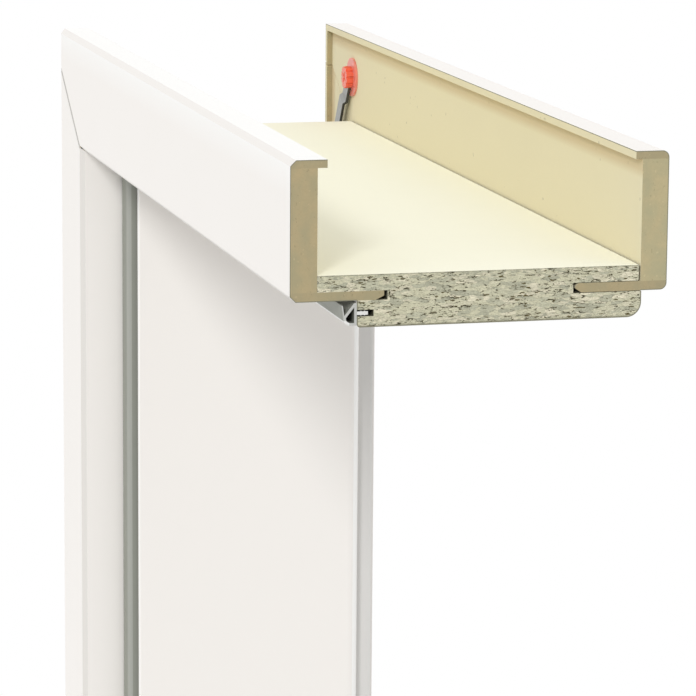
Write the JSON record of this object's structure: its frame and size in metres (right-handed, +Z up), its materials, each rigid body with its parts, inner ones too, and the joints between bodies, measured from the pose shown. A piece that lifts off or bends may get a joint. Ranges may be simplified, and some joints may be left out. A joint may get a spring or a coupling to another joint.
{
  "type": "wrap-around inner door frame, cut-away corner",
  "caption": "White wrap-around frame for an inner door: full-height jamb with a sawn-off head, chipboard lining, casings with lips and tongues, seal and corner connectors.",
  "frame": {"origin": "on the wall-side face of the jamb lining, at floor level, midway between the two wall faces", "axes": "+X across the doorway from the jamb towards the head's saw cut, +Y through the wall from the rebated front to the rear, +Z up"},
  "size_m": [0.545, 0.1658, 2.043],
  "materials": {
    "mdf": "bare medium-density fibreboard",
    "chipboard": "coarse chipboard with cream backing paper",
    "film": "satin white decor film",
    "seal": "soft grey hollow profile",
    "red_plastic": "moulded red plastic",
    "steel": "satin"
  },
  "bodies": {
    "fixed_frame": {"head_lining": "chipboard", "head_lining_film": "film", "head_seal": "seal", "head_front_casing": "mdf", "head_front_casing_lip": "mdf", "head_front_casing_tongue": "mdf", "head_front_casing_foil": "film", "jamb_lining": "chipboard", "jamb_lining_film": "film", "jamb_seal": "seal", "jamb_front_casing": "mdf", "jamb_front_casing_lip": "mdf", "jamb_front_casing_tongue": "mdf", "jamb_front_casing_foil": "film", "front_corner_housing": "red_plastic", "front_corner_tie": "steel", "front_corner_anchor": "red_plastic"},
    "rear_casing_set": {"head_rear_casing": "mdf", "head_rear_casing_lip": "mdf", "head_rear_casing_tongue": "mdf", "head_rear_casing_foil": "film", "jamb_rear_casing": "mdf", "jamb_rear_casing_lip": "mdf", "jamb_rear_casing_tongue": "mdf", "jamb_rear_casing_foil": "film", "rear_corner_housing": "red_plastic", "rear_corner_tie": "steel", "rear_corner_anchor": "red_plastic"}
  },
  "joints": [
    {"name": "rear_casing_slide", "type": "slide", "parent": "fixed_frame", "child": "rear_casing_set", "axis": [0, 1, 0], "range_m": [0, 0.02]}
  ]
}
